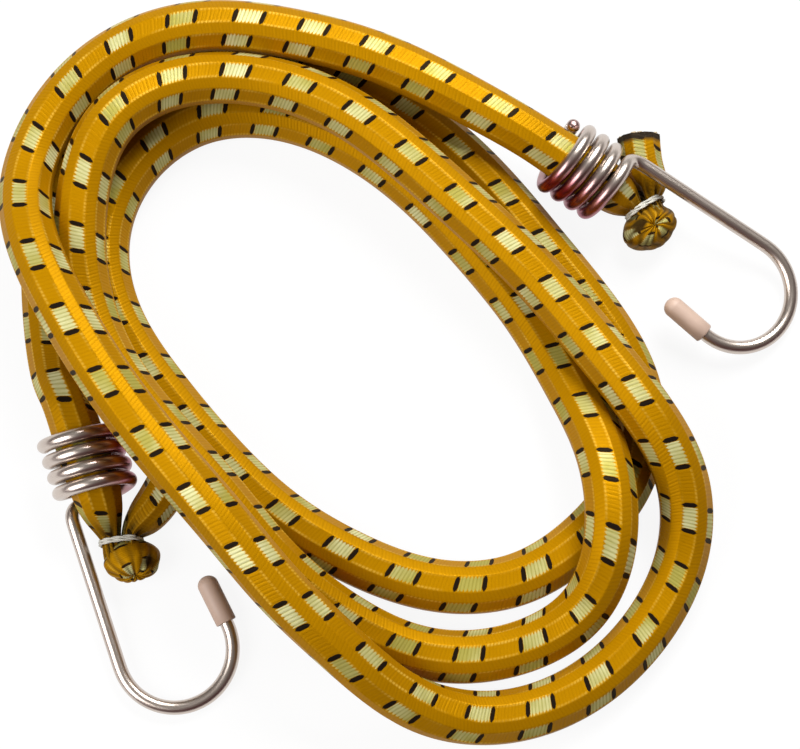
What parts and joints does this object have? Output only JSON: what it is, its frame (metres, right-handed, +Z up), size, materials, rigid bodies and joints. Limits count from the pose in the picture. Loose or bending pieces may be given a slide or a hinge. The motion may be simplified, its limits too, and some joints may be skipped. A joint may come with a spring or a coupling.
{
  "type": "bungee cord",
  "caption": "Braided elastic bungee cord lying in a loose oval pile, with a bright wire hook wound round each bound end and a capped tip on each hook; it straps down loads.",
  "frame": {"origin": "on the ground, under the middle of the whole object's bounding box", "axes": "+Z up from the ground the pile lies on, +X to the right and +Y to the top of the picture"},
  "size_m": [0.1496, 0.138, 0.0272],
  "materials": {
    "sheath": "braided polyester with a soft sheen",
    "rubber": "natural rubber threads",
    "wire": "bright nickel-plated steel wire",
    "cap": "dipped or moulded matte plastic",
    "thread": "twisted white thread"
  },
  "bodies": {
    "cord": {"sheath_winding": "sheath", "core_winding": "rubber", "sheath_stretch_a": "sheath", "core_stretch_a": "rubber", "sheath_stretch_b": "sheath", "core_stretch_b": "rubber"},
    "cord_end_a": {"sheath_end_a": "sheath", "core_end_a": "rubber", "whipping_a": "thread"},
    "cord_end_b": {"sheath_end_b": "sheath", "core_end_b": "rubber", "whipping_b": "thread"},
    "hook_a": {"hook_a": "wire", "tip_cap_a": "cap"},
    "hook_b": {"hook_b": "wire", "tip_cap_b": "cap"}
  },
  "joints": [
    {"name": "end_a_stretch", "type": "slide", "parent": "cord", "child": "cord_end_a", "axis": [0.3256, -0.9455, 0], "range_m": [0, 0.02], "stiffness_N_per_m": 150, "deforming": ["sheath_stretch_a", "core_stretch_a"]},
    {"name": "hook_a_swivel", "type": "hinge", "parent": "cord_end_a", "child": "hook_a", "pos_m": [-0.0585, -0.019, 0.0085], "axis": [0.3248, -0.9432, -0.0698], "range_deg": [-180, 0]},
    {"name": "end_b_stretch", "type": "slide", "parent": "cord", "child": "cord_end_b", "axis": [0.8599, -0.5105, 0], "range_m": [0, 0.02], "stiffness_N_per_m": 150, "deforming": ["sheath_stretch_b", "core_stretch_b"]},
    {"name": "hook_b_swivel", "type": "hinge", "parent": "cord_end_b", "child": "hook_b", "pos_m": [0.0337, 0.0377, 0.0093], "axis": [0.8378, -0.4975, -0.225], "range_deg": [0, 120]}
  ]
}
